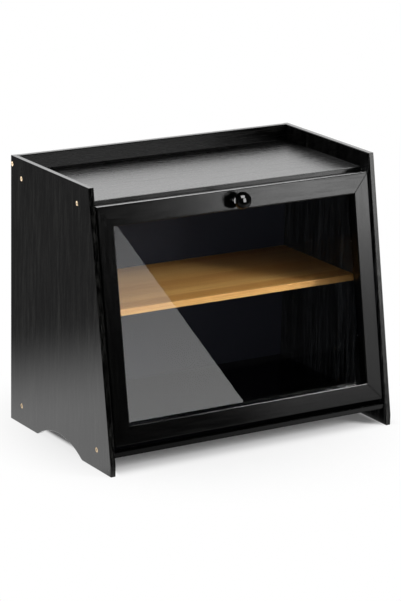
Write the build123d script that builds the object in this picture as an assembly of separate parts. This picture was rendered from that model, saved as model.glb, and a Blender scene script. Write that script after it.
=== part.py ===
from build123d import *
import os
from math import atan2, cos, degrees, sin

# Countertop bread bin: a two-tier box between two sloping side panels, with a
# glazed drop-down door, a loose bamboo shelf and a shallow tray on its top.
# Millimetres. +Z up, -Y towards the person who opens the door, origin on the
# counter under the middle of the box.

# ---- driving dimensions: side panels ----
WIDTH = 390.0            # over the outer faces of the side panels
HEIGHT = 325.0           # counter to the top edge of the side panels
DEPTH_FOOT = 240.0       # side panel, front to back, at the counter
DEPTH_TOP = 184.0        # side panel, front to back, at its top edge
FOOT_UPRIGHT = 12.5      # upright part of the front edge, below the slope
SIDE_T = 7.0             # side panel thickness
ARCH_CHORD = 107.0       # width of the arch between the feet, at the counter
ARCH_RISE = 16.0         # height of that arch
ARCH_BLEND = 7.0         # rounding where the arch runs into a foot
SIDE_EASE = 1.0          # rounded edges of the side panels

# ---- boards between the side panels ----
TRAY_LIP = 19.7          # side panels and back rail stand this far over the top board
TOP_T = 7.0
BOTTOM_T = 7.0
BOTTOM_CLEAR = 19.8      # counter to the underside of the bottom board
BOTTOM_SETBACK = 2.5     # bottom board behind the side panels' front edge
RAIL_T = 7.0             # back rail of the tray
BOARD_EASE = 1.2         # rounded edges of the boards
BACK_T = 3.0             # back panel
BACK_INSET = 5.0         # back panel in from the rear edges
GROOVE_DEPTH = 3.0       # grooves that hold the back panel
GROOVE_FIT = 0.15        # play of the back panel in its grooves, each way

# ---- shelf ----
SHELF_T = 8.0
SHELF_DEPTH = 154.0
SHELF_TOP = 170.5        # counter to the top face of the shelf
SHELF_SIDE_FIT = 0.6     # play between the shelf and each side panel
SHELF_BACK_FIT = 0.8     # play between the shelf and the back panel
SHELF_EASE = 1.0
SHELF_REST_FIT = 0.2     # shelf over its pins
SHELF_PIN_D = 5.0
SHELF_PIN_REACH = 9.0    # pin under the shelf
SHELF_PIN_SINK = 5.0     # pin in the side panel
SHELF_PIN_CHAMFER = 0.6
SHELF_PIN_INSET = 18.0   # pins in from the shelf's front and rear edges

# ---- door ----
DOOR_T = 15.0
DOOR_SETBACK = 2.0       # door face behind the sloping edges of the side panels
DOOR_SIDE_GAP = 1.5
DOOR_BOTTOM_GAP = 5.3    # bottom board to the lower edge of the door's face
DOOR_TOP_DROP = 1.9      # upper edge of the door's face under the tray's surface
DOOR_BOARD_GAP = 3.2     # door's upper rear edge to the top board
STILE_W = 22.0
TOP_RAIL_W = 25.0
BOTTOM_RAIL_W = 22.5
FRAME_OUTER_EASE = 2.0   # rounding of the frame's outer front edge
FRAME_SIGHT_EASE = 1.5   # rounding of the frame's edge round the window
FRAME_REAR_EASE = 0.8
MITRE_EASE = 0.4         # chamfer on each bar's mitred edge, which leaves a fine V at the corners
REBATE_W = 6.0           # rebate behind the window, past the sight edge
GLASS_DEPTH = 10.5       # door face to the front of the pane
PANE_T = 2.0
PANE_FIT = 0.5           # play of the pane in its rebate
BEAD_EASE = 1.2
BEAD_PIN_D = 1.2
BEAD_PIN_SINK = 4.0      # glazing pin in the frame
BEAD_PIN_PITCH = 110.0   # about this far between the glazing pins

# ---- knob ----
KNOB_D = 20.5
KNOB_STANDOFF = 12.4     # door face to the centre of the ball
KNOB_BELOW_TOP = 13.6    # knob's axis under the door's upper edge
KNOB_NECK_D = 8.5
KNOB_FOOT_D = 11.0
KNOB_FOOT_T = 1.2
KNOB_SCREW_D = 4.0
KNOB_SCREW_GRIP = 9.0    # screw in the knob
KNOB_SCREW_HEAD_D = 8.0
KNOB_SCREW_HEAD_T = 2.4
KNOB_SCREW_HEAD_EASE = 0.7
KNOB_SCREW_SINK = 3.0    # counterbore in the rail's rear face

# ---- pivots the door drops on ----
PIVOT_UP = 7.5           # pivot over the door's lower edge
PIVOT_IN = 7.5           # pivot behind the door's face
PIVOT_PIN_D = 4.0
PIVOT_PIN_GRIP = 12.0    # pin in the stile
BUSH_D = 6.4
BUSH_SINK = 4.5          # bush in the side panel
BUSH_FLANGE_D = 9.5
BUSH_FLANGE_T = 0.9
PIVOT_RUNNING_FIT = 0.05 # radial play of the pin in its bush
END_PLAY = 0.3           # pin end to the bottom of the bush's bore
BUSH_FLOOR = 0.8         # closed end of the bush

# ---- door stop and magnets ----
STOP_H = 12.0            # stop strip under the top board
STOP_D = 14.0            # front to back, along the top board
STOP_FIT = 0.5           # closed door to the stop strip
MAGNET_D = 8.0
MAGNET_T = 2.5
MAGNET_SPREAD = 220.0    # distance between the two magnets
STOP_SCREW_D = 3.0
STOP_SCREW_HEAD_D = 5.6
STOP_SCREW_LENGTH = 16.0
STOP_SCREW_SPREAD = 280.0

# ---- carcass screws ----
SCREW_D = 3.5
SCREW_HEAD_D = 6.4
SCREW_LENGTH = 26.0
SCREW_SINK = 0.2         # head under the panel's surface
SCREW_TOP_REAR = 26.0    # screw in from the top board's rear edge
SCREW_TOP_FRONT = 9.5    # and from its front edge
SCREW_BOTTOM_INSET = 27.5  # screws in from both edges of the bottom board
HOLE_FIT = 0.05          # radial play of screws and pins in their holes
SEAT_FIT = 0.05          # play of a let-in piece in its pocket

# ---- worked-out places ----
inner_x = WIDTH / 2 - SIDE_T
rear_y = DEPTH_FOOT / 2
lean = atan2(DEPTH_FOOT - DEPTH_TOP, HEIGHT - FOOT_UPRIGHT)
tray_z = HEIGHT - TRAY_LIP
floor_z = BOTTOM_CLEAR + BOTTOM_T
back_y = rear_y - BACK_INSET - BACK_T        # inside face of the back panel
top_under_z = tray_z - TOP_T


def slope_y(z):
    """Front edge of a side panel at height z, on its slope."""
    return -rear_y + (z - FOOT_UPRIGHT) * (sin(lean) / cos(lean))


door_z = floor_z + DOOR_BOTTOM_GAP           # lower edge of the door's face
door_y = slope_y(door_z) + DOOR_SETBACK / cos(lean)
door_w = 2 * (inner_x - DOOR_SIDE_GAP)
door_h = (tray_z - DOOR_TOP_DROP - door_z) / cos(lean)
sight_x = door_w / 2 - STILE_W
sight_low = BOTTOM_RAIL_W
sight_high = door_h - TOP_RAIL_W
pocket_x = sight_x + REBATE_W
pocket_low = sight_low - REBATE_W
pocket_high = sight_high + REBATE_W
bead_t = DOOR_T - GLASS_DEPTH - PANE_T
knob_z = door_h - KNOB_BELOW_TOP
top_front_y = door_y + door_h * sin(lean) + DOOR_T * cos(lean) + DOOR_BOARD_GAP
bottom_front_y = slope_y(floor_z) + BOTTOM_SETBACK
pivot_y = door_y + PIVOT_UP * sin(lean) + PIVOT_IN * cos(lean)
pivot_z = door_z + PIVOT_UP * cos(lean) - PIVOT_IN * sin(lean)
shelf_rear_y = back_y - SHELF_BACK_FIT
shelf_front_y = shelf_rear_y - SHELF_DEPTH
shelf_under_z = SHELF_TOP - SHELF_T
pin_z = shelf_under_z - SHELF_REST_FIT - SHELF_PIN_D / 2
pin_rows = (shelf_front_y + SHELF_PIN_INSET, shelf_rear_y - SHELF_PIN_INSET)

# Carcass screws, as (y, z) on the outer face of a side panel.
carcass_screws = (
    (rear_y - RAIL_T / 2, tray_z + TRAY_LIP / 2),
    (rear_y - SCREW_TOP_REAR, tray_z - TOP_T / 2),
    (top_front_y + SCREW_TOP_FRONT, tray_z - TOP_T / 2),
    (rear_y - SCREW_BOTTOM_INSET, floor_z - BOTTOM_T / 2),
    (bottom_front_y + SCREW_BOTTOM_INSET, floor_z - BOTTOM_T / 2),
)


# ---- helpers ----
def box(x0, x1, y0, y1, z0, z1):
    """A box between two corners."""
    solid = Box(x1 - x0, y1 - y0, z1 - z0)
    return Pos((x0 + x1) / 2, (y0 + y1) / 2, (z0 + z1) / 2) * solid


def rod(radius, length):
    """A cylinder from the origin along +Z."""
    return Cylinder(radius, length, align=(Align.CENTER, Align.CENTER, Align.MIN))


def along_x(shape):
    """Turn a shape made along +Z to lie along +X."""
    return Rot(Y=90) * shape


def mirrored(shape):
    """The same piece for the other side of the box."""
    return mirror(shape, about=Plane.YZ)


def on_door(shape):
    """Place a shape drawn on an upright door: face at y 0, lower edge at z 0."""
    return Pos(0, door_y, door_z) * Rot(X=-degrees(lean)) * shape


def countersunk(diameter, head_d, length, grow=0.0):
    """Countersunk screw along +Z, its flat head at z 0; grow gives its hole."""
    r = diameter / 2 + grow
    head_r = head_d / 2 + grow
    length += grow
    outline = Polyline((0, 0), (head_r, 0), (r, head_r - r), (r, length), (0, length), (0, 0))
    return revolve(Plane.XZ * make_face(outline), Axis.Z)


def save(name, shape):
    """Write one node."""
    export_step(shape, f"parts/{name}.step")


# ---- side panels ----
def side_blank():
    """Left side panel before any hole: x 0 is its outer face."""
    corners = (
        (-rear_y, 0), (rear_y, 0), (rear_y, HEIGHT),
        (rear_y - DEPTH_TOP, HEIGHT), (-rear_y, FOOT_UPRIGHT),
    )
    arch_r = ((ARCH_CHORD / 2) ** 2 + ARCH_RISE ** 2) / (2 * ARCH_RISE)
    face = Polygon(*corners, align=None) - Pos(0, ARCH_RISE - arch_r) * Circle(arch_r)
    ends = [v for v in face.vertices() if abs(v.Y) < 0.01 and abs(v.X) < ARCH_CHORD]
    face = fillet(ends, ARCH_BLEND)
    panel = extrude(Plane.YZ * face, SIDE_T)
    rims = panel.faces().filter_by(Axis.X)
    return fillet([edge for rim in rims for edge in rim.edges()], SIDE_EASE)


def carcass_screw_at(y, z, grow=0.0):
    """One carcass screw, or its hole, driven in from the left panel's face."""
    screw = along_x(countersunk(SCREW_D, SCREW_HEAD_D, SCREW_LENGTH, grow))
    return Pos(-WIDTH / 2 + SCREW_SINK, y, z) * screw


def screw_holes():
    """Holes for the left side's screws, open to the panel's surface."""
    holes = []
    for y, z in carcass_screws:
        mouth = along_x(rod(SCREW_HEAD_D / 2 + HOLE_FIT, SCREW_SINK + SIDE_EASE))
        mouth = Pos(-WIDTH / 2 - SIDE_EASE, y, z) * mouth
        holes += [carcass_screw_at(y, z, HOLE_FIT), mouth]
    return holes


def back_groove():
    """The space that the back panel's grooves take, in every board round it."""
    reach_x = inner_x + GROOVE_DEPTH
    return box(
        -reach_x, reach_x,
        back_y - GROOVE_FIT, back_y + BACK_T + GROOVE_FIT,
        floor_z - GROOVE_DEPTH, top_under_z + GROOVE_DEPTH,
    )


def shelf_pin(grow=0.0):
    """One shelf pin along +X, the panel's face at x 0, or the hole for it."""
    pin = rod(SHELF_PIN_D / 2 + grow, SHELF_PIN_SINK + SHELF_PIN_REACH + grow)
    if not grow:
        pin = chamfer(pin.edges().sort_by(Axis.Z)[-1], SHELF_PIN_CHAMFER)
    return Pos(-SHELF_PIN_SINK - grow) * along_x(pin)


def pivot_bush():
    """Flanged bush in the left panel, its flange's seat at x 0."""
    shell = Pos(-BUSH_SINK) * along_x(rod(BUSH_D / 2, BUSH_SINK))
    shell += along_x(rod(BUSH_FLANGE_D / 2, BUSH_FLANGE_T))
    bore_r = PIVOT_PIN_D / 2 + PIVOT_RUNNING_FIT
    depth = BUSH_SINK - BUSH_FLOOR
    return shell - Pos(-depth) * along_x(rod(bore_r, depth + BUSH_FLANGE_T))


def side_panel():
    """Left side panel with its grooves and holes."""
    panel = Pos(-WIDTH / 2) * side_blank() - back_groove()
    for hole in screw_holes():
        panel -= hole
    seat_r = BUSH_D / 2 + SEAT_FIT
    seat = along_x(rod(seat_r, BUSH_SINK + SEAT_FIT))
    panel -= Pos(-inner_x - BUSH_SINK - SEAT_FIT, pivot_y, pivot_z) * seat
    for y in pin_rows:
        panel -= Pos(-inner_x, y, pin_z) * shelf_pin(HOLE_FIT)
    return panel


# ---- boards ----
def eased_board(x1, y0, y1, z0, z1, ease):
    """Board between the side panels with its long edges rounded."""
    board = box(-x1, x1, y0, y1, z0, z1)
    return fillet(board.edges().filter_by(Axis.X), ease)


def drilled(board):
    """Take the carcass screws of both sides out of a board's ends."""
    for y, z in carcass_screws:
        hole = carcass_screw_at(y, z, HOLE_FIT)
        board = board - hole - mirrored(hole)
    return board


def top_board():
    board = eased_board(inner_x, top_front_y, rear_y, top_under_z, tray_z, BOARD_EASE)
    board = drilled(board - back_groove())
    for screw in stop_screws(HOLE_FIT):
        board -= screw
    return board


def bottom_board():
    board = eased_board(inner_x, bottom_front_y, rear_y, BOTTOM_CLEAR, floor_z, BOARD_EASE)
    return drilled(board - back_groove())


def back_rail():
    rail = eased_board(inner_x, rear_y - RAIL_T, rear_y, tray_z, HEIGHT, BOARD_EASE)
    return drilled(rail)


def back_panel():
    grip = GROOVE_DEPTH - GROOVE_FIT
    return box(
        -inner_x - grip, inner_x + grip, back_y, back_y + BACK_T,
        floor_z - grip, top_under_z + grip,
    )


def shelf():
    return eased_board(
        inner_x - SHELF_SIDE_FIT, shelf_front_y, shelf_rear_y,
        shelf_under_z, SHELF_TOP, SHELF_EASE,
    )


# ---- door stop under the top board ----
def rear_plane_y(z):
    """Rear face of the closed door at height z."""
    return slope_y(z) + (DOOR_SETBACK + DOOR_T) / cos(lean)


def stop_screws(grow=0.0):
    """Screws that hold the stop strip up to the top board, or their holes."""
    y = rear_plane_y(top_under_z) + STOP_FIT + STOP_D / 2
    z = top_under_z - STOP_H
    screw = countersunk(STOP_SCREW_D, STOP_SCREW_HEAD_D, STOP_SCREW_LENGTH, grow)
    return [Pos(side * STOP_SCREW_SPREAD / 2, y, z) * screw for side in (-1, 1)]


def magnet_spots():
    """Where the magnets sit on the door's rear face, in the door's own frame."""
    z = top_under_z - STOP_H / 2
    z_on_door = (z - door_z + DOOR_T * sin(lean)) / cos(lean)
    return [(side * MAGNET_SPREAD / 2, z_on_door) for side in (-1, 1)]


def magnet_disc(y0, y1, grow=0.0):
    """Both discs between two depths behind the door's face, as a list."""
    discs = []
    for x, z in magnet_spots():
        disc = Rot(X=-90) * rod(MAGNET_D / 2 + grow, y1 - y0)
        discs.append(on_door(Pos(x, y0, z) * disc))
    return discs


stop_face = DOOR_T + STOP_FIT * cos(lean)    # stop strip's face behind the door's face


def door_stop():
    """Bevelled strip that the closed door rests on."""
    z0, z1 = top_under_z - STOP_H, top_under_z
    y_low, y_high = rear_plane_y(z0) + STOP_FIT, rear_plane_y(z1) + STOP_FIT
    section = Polygon(
        (y_low, z0), (y_high + STOP_D, z0), (y_high + STOP_D, z1), (y_high, z1),
        align=None,
    )
    strip = Pos(-inner_x) * extrude(Plane.YZ * section, 2 * inner_x)
    for hole in magnet_disc(stop_face - SEAT_FIT, stop_face + MAGNET_T + SEAT_FIT, SEAT_FIT):
        strip -= hole
    for screw in stop_screws(HOLE_FIT):
        strip -= screw
    return strip


# ---- door frame ----
def eased_corner(section, side_x, side_y, radius):
    """Round the corner of a flat section that lies furthest to the sides named."""
    corner = max(section.vertices(), key=lambda v: side_x * v.X + side_y * v.Y)
    return fillet(corner, radius)


def frame_bar(length, width, cut_start, cut_end):
    """Mitred bar along +X from x 0: outer edge at z 0, face at y 0."""
    section = Pos(DOOR_T / 2, width / 2) * Rectangle(DOOR_T, width)
    section = eased_corner(section, -1, -1, FRAME_OUTER_EASE)
    section = eased_corner(section, -1, 1, FRAME_SIGHT_EASE)
    section = eased_corner(section, 1, -1, FRAME_REAR_EASE)
    bar = extrude(Plane.YZ * section, length)
    outline = Polygon(
        (0, 0), (length, 0), (length - cut_end, width), (cut_start, width), align=None)
    mitred = extrude(Plane.XZ * outline, -DOOR_T)
    mitred_edges = mitred.edges().group_by(Axis.Y)[0].filter_by(Axis.X, reverse=True)
    return bar & chamfer(mitred_edges, MITRE_EASE)


def rebate():
    """Pocket behind the window that takes the pane and its beads."""
    return box(-pocket_x, pocket_x, GLASS_DEPTH, 2 * DOOR_T, pocket_low, pocket_high)


def top_rail():
    bar = Pos(-door_w / 2) * frame_bar(door_w, TOP_RAIL_W, STILE_W, STILE_W)
    return Pos(0, 0, door_h) * Rot(Y=180) * bar


def bottom_rail():
    return Pos(-door_w / 2) * frame_bar(door_w, BOTTOM_RAIL_W, STILE_W, STILE_W)


def left_stile():
    bar = frame_bar(door_h, STILE_W, TOP_RAIL_W, BOTTOM_RAIL_W)
    return Pos(-door_w / 2, 0, door_h) * Rot(Y=90) * bar


def knob_screw(grow=0.0):
    """Machine screw through the top rail into the knob, in the door's frame."""
    tip_y = -KNOB_SCREW_GRIP - grow
    seat_y = DOOR_T - KNOB_SCREW_SINK
    shank = Pos(0, tip_y) * Rot(X=-90) * rod(KNOB_SCREW_D / 2 + grow, seat_y - tip_y)
    head_t = KNOB_SCREW_SINK if grow else KNOB_SCREW_HEAD_T
    head = Pos(0, seat_y) * Rot(X=-90) * rod(KNOB_SCREW_HEAD_D / 2 + grow, head_t)
    if not grow:
        head = chamfer(head.edges().sort_by(Axis.Y)[-1], KNOB_SCREW_HEAD_EASE)
    return Pos(0, 0, knob_z) * (shank + head)


def knob():
    """Turned ball knob on a short waisted neck, in the door's frame."""
    ball_r = KNOB_D / 2
    neck_r = KNOB_NECK_D / 2
    meet = KNOB_STANDOFF - (ball_r ** 2 - neck_r ** 2) ** 0.5
    outline = Line((0, 0), (KNOB_FOOT_D / 2, 0))
    outline += Line((KNOB_FOOT_D / 2, 0), (KNOB_FOOT_D / 2, KNOB_FOOT_T))
    outline += Line((KNOB_FOOT_D / 2, KNOB_FOOT_T), (neck_r, meet))
    outline += ThreePointArc(
        (neck_r, meet), (ball_r, KNOB_STANDOFF), (0, KNOB_STANDOFF + ball_r))
    outline += Line((0, KNOB_STANDOFF + ball_r), (0, 0))
    turned = revolve(Plane.XZ * make_face(outline), Axis.Z)
    return Pos(0, 0, knob_z) * Rot(X=90) * turned - knob_screw(HOLE_FIT)


def pivot_pin(grow=0.0):
    """Pin in the left stile's edge, in the box's frame, or its hole."""
    outer_x = -inner_x - BUSH_SINK + BUSH_FLOOR + END_PLAY
    inner_end = -door_w / 2 + PIVOT_PIN_GRIP + grow
    pin = along_x(rod(PIVOT_PIN_D / 2 + grow, inner_end - outer_x))
    return Pos(outer_x, pivot_y, pivot_z) * pin


# ---- glazing ----
def bead(length):
    """Mitred bead along +X from x 0: outer edge at z 0, its pane side at y 0."""
    section = Pos(bead_t / 2, REBATE_W / 2) * Rectangle(bead_t, REBATE_W)
    section = eased_corner(section, 1, 1, BEAD_EASE)
    bar = extrude(Plane.YZ * section, length)
    mitre = Polygon(
        (0, 0), (length, 0), (length - REBATE_W, REBATE_W), (REBATE_W, REBATE_W),
        align=None)
    return bar & extrude(Plane.XZ * mitre, -bead_t)


def beads():
    """The four glazing beads, in the door's frame."""
    y = GLASS_DEPTH + PANE_T
    across = 2 * pocket_x
    upright = pocket_high - pocket_low
    low = Pos(-pocket_x, y, pocket_low) * bead(across)
    high = Pos(pocket_x, y, pocket_high) * Rot(Y=180) * bead(across)
    left = Pos(-pocket_x, y, pocket_high) * Rot(Y=90) * bead(upright)
    return {"low": low, "high": high, "left": left, "right": mirrored(left)}


def pin_steps(span):
    """An even number of places along a span, from its middle, clear of the knob."""
    count = 2 * max(1, round(span / BEAD_PIN_PITCH / 2))
    return [(i + 0.5) * span / count - span / 2 for i in range(count)]


def glazing_pins(grow=0.0):
    """Headless pins that hold the beads to the frame, in the door's frame."""
    y = GLASS_DEPTH + PANE_T + bead_t / 2
    length = REBATE_W + BEAD_PIN_SINK + grow
    pin = rod(BEAD_PIN_D / 2 + grow, length)
    mid_z = (pocket_low + pocket_high) / 2
    pins = []
    for x in pin_steps(2 * sight_x):
        pins.append(Pos(x, y, sight_high) * pin)
        pins.append(Pos(x, y, sight_low) * Rot(X=180) * pin)
    for step in pin_steps(sight_high - sight_low):
        pins.append(Pos(sight_x, y, mid_z + step) * Rot(Y=90) * pin)
        pins.append(Pos(-sight_x, y, mid_z + step) * Rot(Y=-90) * pin)
    return pins


def window_pane():
    return box(
        -pocket_x + PANE_FIT, pocket_x - PANE_FIT, GLASS_DEPTH, GLASS_DEPTH + PANE_T,
        pocket_low + PANE_FIT, pocket_high - PANE_FIT,
    )


# ---- build ----
os.makedirs("parts", exist_ok=True)

left_panel = side_panel()
save("side_panel_left", left_panel)
save("side_panel_right", mirrored(left_panel))
save("top_board", top_board())
save("bottom_board", bottom_board())
save("back_rail", back_rail())
save("back_panel", back_panel())
save("shelf", shelf())

left_screws = [carcass_screw_at(y, z) for y, z in carcass_screws]
save("side_screws_left", Compound(left_screws))
save("side_screws_right", Compound([mirrored(screw) for screw in left_screws]))

left_pins = [Pos(-inner_x, y, pin_z) * shelf_pin() for y in pin_rows]
save("shelf_pins_left", Compound(left_pins))
save("shelf_pins_right", Compound([mirrored(pin) for pin in left_pins]))

save("door_stop", door_stop())
save("door_stop_screws", Compound(stop_screws()))
save("stop_magnets", Compound(magnet_disc(stop_face, stop_face + MAGNET_T)))

bush = Pos(-inner_x, pivot_y, pivot_z) * pivot_bush()
save("pivot_bush_left", bush)
save("pivot_bush_right", mirrored(bush))

pin = pivot_pin()
save("pivot_pin_left", pin)
save("pivot_pin_right", mirrored(pin))

pin_holes = [on_door(hole) for hole in glazing_pins(HOLE_FIT)]
stile = on_door(left_stile() - rebate()) - pivot_pin(HOLE_FIT)
for hole in pin_holes:
    stile -= hole
save("door_stile_left", stile)
save("door_stile_right", mirrored(stile))

upper = on_door(top_rail() - rebate() - knob_screw(HOLE_FIT))
for hole in pin_holes + magnet_disc(DOOR_T - MAGNET_T, DOOR_T + SEAT_FIT, SEAT_FIT):
    upper -= hole
save("door_top_rail", upper)

pivot_holes = [pivot_pin(HOLE_FIT), mirrored(pivot_pin(HOLE_FIT))]
lower = on_door(bottom_rail() - rebate())
for hole in pin_holes + pivot_holes:
    lower -= hole
save("door_bottom_rail", lower)

save("door_magnets", Compound(magnet_disc(DOOR_T - MAGNET_T, DOOR_T)))
save("window_pane", on_door(window_pane()))

for place, strip in beads().items():
    strip = on_door(strip)
    for hole in pin_holes:
        strip -= hole
    save(f"glazing_bead_{place}", strip)
save("glazing_pins", Compound([on_door(pin) for pin in glazing_pins()]))

save("knob", on_door(knob()))
save("knob_screw", on_door(knob_screw()))

print("lean", round(degrees(lean), 3), "door height", round(door_h, 2))
print("pivot y, z", round(pivot_y, 3), round(pivot_z, 3))
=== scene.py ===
# %% [markdown]
# # Dressing a countertop bread bin
# The box is already built: every board, screw and pin comes in at its real size as a fixed frame.
# This lesson gives it the photograph's camera, its finishes, the fine turned and pressed pieces
# that are easier to model by hand, and a small photographer's set to stand in.
# Everything is in metres, with the origin on the counter under the middle of the box.

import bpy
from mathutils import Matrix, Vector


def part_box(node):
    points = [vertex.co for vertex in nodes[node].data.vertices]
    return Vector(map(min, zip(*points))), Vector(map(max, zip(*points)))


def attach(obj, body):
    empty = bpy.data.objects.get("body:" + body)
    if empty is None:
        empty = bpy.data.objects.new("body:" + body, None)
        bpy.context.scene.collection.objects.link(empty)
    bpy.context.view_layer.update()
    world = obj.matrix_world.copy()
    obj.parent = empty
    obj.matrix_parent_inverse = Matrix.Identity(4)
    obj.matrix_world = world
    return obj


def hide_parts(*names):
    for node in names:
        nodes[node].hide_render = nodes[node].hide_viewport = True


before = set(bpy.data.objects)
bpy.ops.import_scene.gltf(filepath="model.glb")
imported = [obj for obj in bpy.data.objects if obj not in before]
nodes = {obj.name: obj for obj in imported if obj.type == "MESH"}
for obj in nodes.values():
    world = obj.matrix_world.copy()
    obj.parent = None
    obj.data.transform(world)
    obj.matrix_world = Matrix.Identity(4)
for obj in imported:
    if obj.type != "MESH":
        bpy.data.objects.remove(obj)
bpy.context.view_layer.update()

# %% [markdown]
# ## Units and what the frame tells
# Sizes are written in millimetres, as on a drawing, and turned to metres by MM.
# The door leans back, and the widest face of its pane says by how much, so nothing is typed twice.

# %% Units and the leaning door
from math import atan2, cos, degrees, pi, radians, sin, sqrt

import bmesh
import bpy
from mathutils import Matrix, Vector

MM = 0.001

pane_faces = nodes["window_pane"].data.polygons
door_out = max((f for f in pane_faces if f.normal.y < 0), key=lambda f: f.area).normal.copy()
lean = atan2(door_out.z, -door_out.y)
door_face = max(v.co.dot(door_out) for v in nodes["door_stile_left"].data.vertices)
print("the door leans back by", round(degrees(lean), 2), "degrees")

# %% [markdown]
# ## Camera
# A camera is matched to a photograph by its place, the way it points and its lens.
# The picture is 401 by 601 pixels, and the edges of the box fit a lens of 2698 pixels:
# a long lens, which is why the far side of the box is hardly smaller than the near one.
# Blender's lens is in millimetres on a 36 mm sensor, which lies along the picture's long side.

# %% Set up the camera
PICTURE = (401, 601)         # pixels
LENS_PIXELS = 2698.49
SENSOR = 36.0                # millimetres
CAMERA_PLACE = Vector((-1646.72, -2608.43, 1045.92)) * MM
YAW, PITCH, ROLL = radians(32.2047), radians(-16.1688), radians(1.1681)   # right, up, tilted

bpy.ops.object.camera_add()
camera = bpy.context.object
camera.data.sensor_width = SENSOR
camera.data.lens = LENS_PIXELS / max(PICTURE) * SENSOR
turn = Matrix.Rotation(-YAW, 4, "Z") @ Matrix.Rotation(pi / 2 + PITCH, 4, "X")
camera.matrix_world = Matrix.Translation(CAMERA_PLACE) @ turn @ Matrix.Rotation(ROLL, 4, "Z")
bpy.context.scene.camera = camera
bpy.context.scene.view_settings.view_transform = "Standard"
print("lens", round(camera.data.lens, 1), "mm")

# %% [markdown]
# ## Three helpers for materials
# Colours are read off as sRGB, the way a screen shows them, but a shader adds up light, which
# needs linear numbers. One function does that change for every colour here.
# Another adds a single shader node with its settings and its links, and the third starts an
# empty material for such nodes.

# %% Colour and node helpers
def linear(hex_colour):
    """An sRGB hex colour as linear red, green, blue and 1."""
    parts = [int(hex_colour[i:i + 2], 16) / 255 for i in (1, 3, 5)]
    return [p / 12.92 if p <= 0.04045 else ((p + 0.055) / 1.055) ** 2.4 for p in parts] + [1]


def add(tree, kind, inputs=None, **settings):
    """Add one shader node; an input takes a value or another node's socket."""
    made = tree.nodes.new("ShaderNode" + kind)
    for name, value in settings.items():
        setattr(made, name, value)
    for name, value in (inputs or {}).items():
        if isinstance(value, bpy.types.NodeSocket):
            tree.links.new(value, made.inputs[name])
        else:
            made.inputs[name].default_value = value
    return made


def new_material(name):
    """An empty material and its node tree."""
    material = bpy.data.materials.new(name)
    material.use_nodes = True
    material.node_tree.nodes.clear()
    return material, material.node_tree


print("mid grey #808080 is", round(linear("#808080")[0], 3), "in linear light")

# %% [markdown]
# ## Black stained wood
# The boards are a light, straight-grained wood, stained black and sprayed with a thin satin
# lacquer. The stain hides the colour of the wood but not its grain: the lacquer sinks into the
# open pores, so the grain shows as fine long streaks, a little duller and lower than the rest.
# A Mapping node of type Texture divides by its scale, so that scale is the real length and width
# of a streak. Its rotation lays the streaks along each board, as the board was sawn.
# A second, much larger noise is the figure, the broad bands where the pores stand closer.
# The real pores are about 0.3 mm wide, too fine for this picture, so they are drawn at 2.2 mm.
# Black stain leaves almost no body colour. What the eye reads as grey is the lacquer's own
# reflection of the room, so the reflections have to be right before the boards look right.
# The side panels' pores, and less so the tray's, are painted paler than the other boards':
# painted light, standing in for light that falls on them.
# The door was rubbed down between coats and is the smoothest. The tray on top is the dullest.

# %% Black stained wood
FIBRE_LENGTH, FIBRE_WIDTH = 45 * MM, 2.2 * MM
FIGURE_LENGTH, FIGURE_WIDTH = 300 * MM, 18 * MM
PORE_DEPTH = 0.04 * MM


def black_stained_wood(name, grain, pore_and_painted_light, lacquer_rough, pore_rough):
    """Satin black stained wood, its grain laid along a rotation of the X axis."""
    material, tree = new_material(name)
    place = add(tree, "TexCoord").outputs["Object"]
    fibre_map = add(tree, "Mapping", {
        "Vector": place, "Rotation": grain, "Scale": (FIBRE_LENGTH, FIBRE_WIDTH, FIBRE_WIDTH),
    }, vector_type="TEXTURE")
    figure_map = add(tree, "Mapping", {
        "Vector": place, "Rotation": grain, "Scale": (FIGURE_LENGTH, FIGURE_WIDTH, FIGURE_WIDTH),
    }, vector_type="TEXTURE")
    fibre = add(tree, "TexNoise", {
        "Vector": fibre_map.outputs[0], "Scale": 1.0, "Detail": 4.0, "Roughness": 0.7,
    }).outputs["Fac"]
    figure = add(tree, "TexNoise", {
        "Vector": figure_map.outputs[0], "Scale": 1.0, "Detail": 2.0, "Distortion": 0.3,
    }).outputs["Fac"]
    pores = add(tree, "MapRange", {
        "Value": fibre, "From Min": 0.44, "From Max": 0.66,
    }).outputs[0]
    figured = add(tree, "MapRange", {
        "Value": figure, "From Min": 0.3, "From Max": 0.7, "To Min": 0.35,
    }).outputs[0]
    tone = add(tree, "Math", {0: pores, 1: figured}, operation="MULTIPLY").outputs[0]
    # The pale end of the tone is the colour passed in, which on the tray and side panels is
    # painted light
    colour = add(tree, "Mix", {
        "Factor": tone, 6: linear("#020202"), 7: linear(pore_and_painted_light),
    }, data_type="RGBA").outputs[2]
    shine = add(tree, "MapRange", {
        "Value": tone, "To Min": lacquer_rough, "To Max": pore_rough,
    }).outputs[0]
    relief = add(tree, "Bump", {
        "Height": pores, "Strength": 0.25, "Distance": PORE_DEPTH,
    }).outputs[0]
    wood = add(tree, "BsdfPrincipled", {
        "Base Color": colour, "Roughness": shine, "Normal": relief, "IOR": 1.6,
    })
    add(tree, "OutputMaterial", {"Surface": wood.outputs[0]})
    return material


# Three ways to lay the grain: along the box, up the side panels, and up the leaning door
along = (0, 0, 0)
upright = (0, -pi / 2, 0)
leaning = (Matrix.Rotation(-lean, 3, "X") @ Matrix.Rotation(-pi / 2, 3, "Y")).to_euler()
# The tray's and side panels' paler pore colours are painted light; the other boards' are the stain
wood_tray = black_stained_wood("black_stained_wood_tray", along, "#1E1E1D", 0.25, 0.36)
wood_along = black_stained_wood("black_stained_wood_along", along, "#070706", 0.14, 0.20)
wood_leaning = black_stained_wood("black_stained_wood_leaning", leaning, "#070706", 0.14, 0.20)
wood_upright = black_stained_wood("black_stained_wood_upright", upright, "#343432", 0.165, 0.21)
print("woods:", [wood.name for wood in (wood_tray, wood_along, wood_leaning, wood_upright)])

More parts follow.
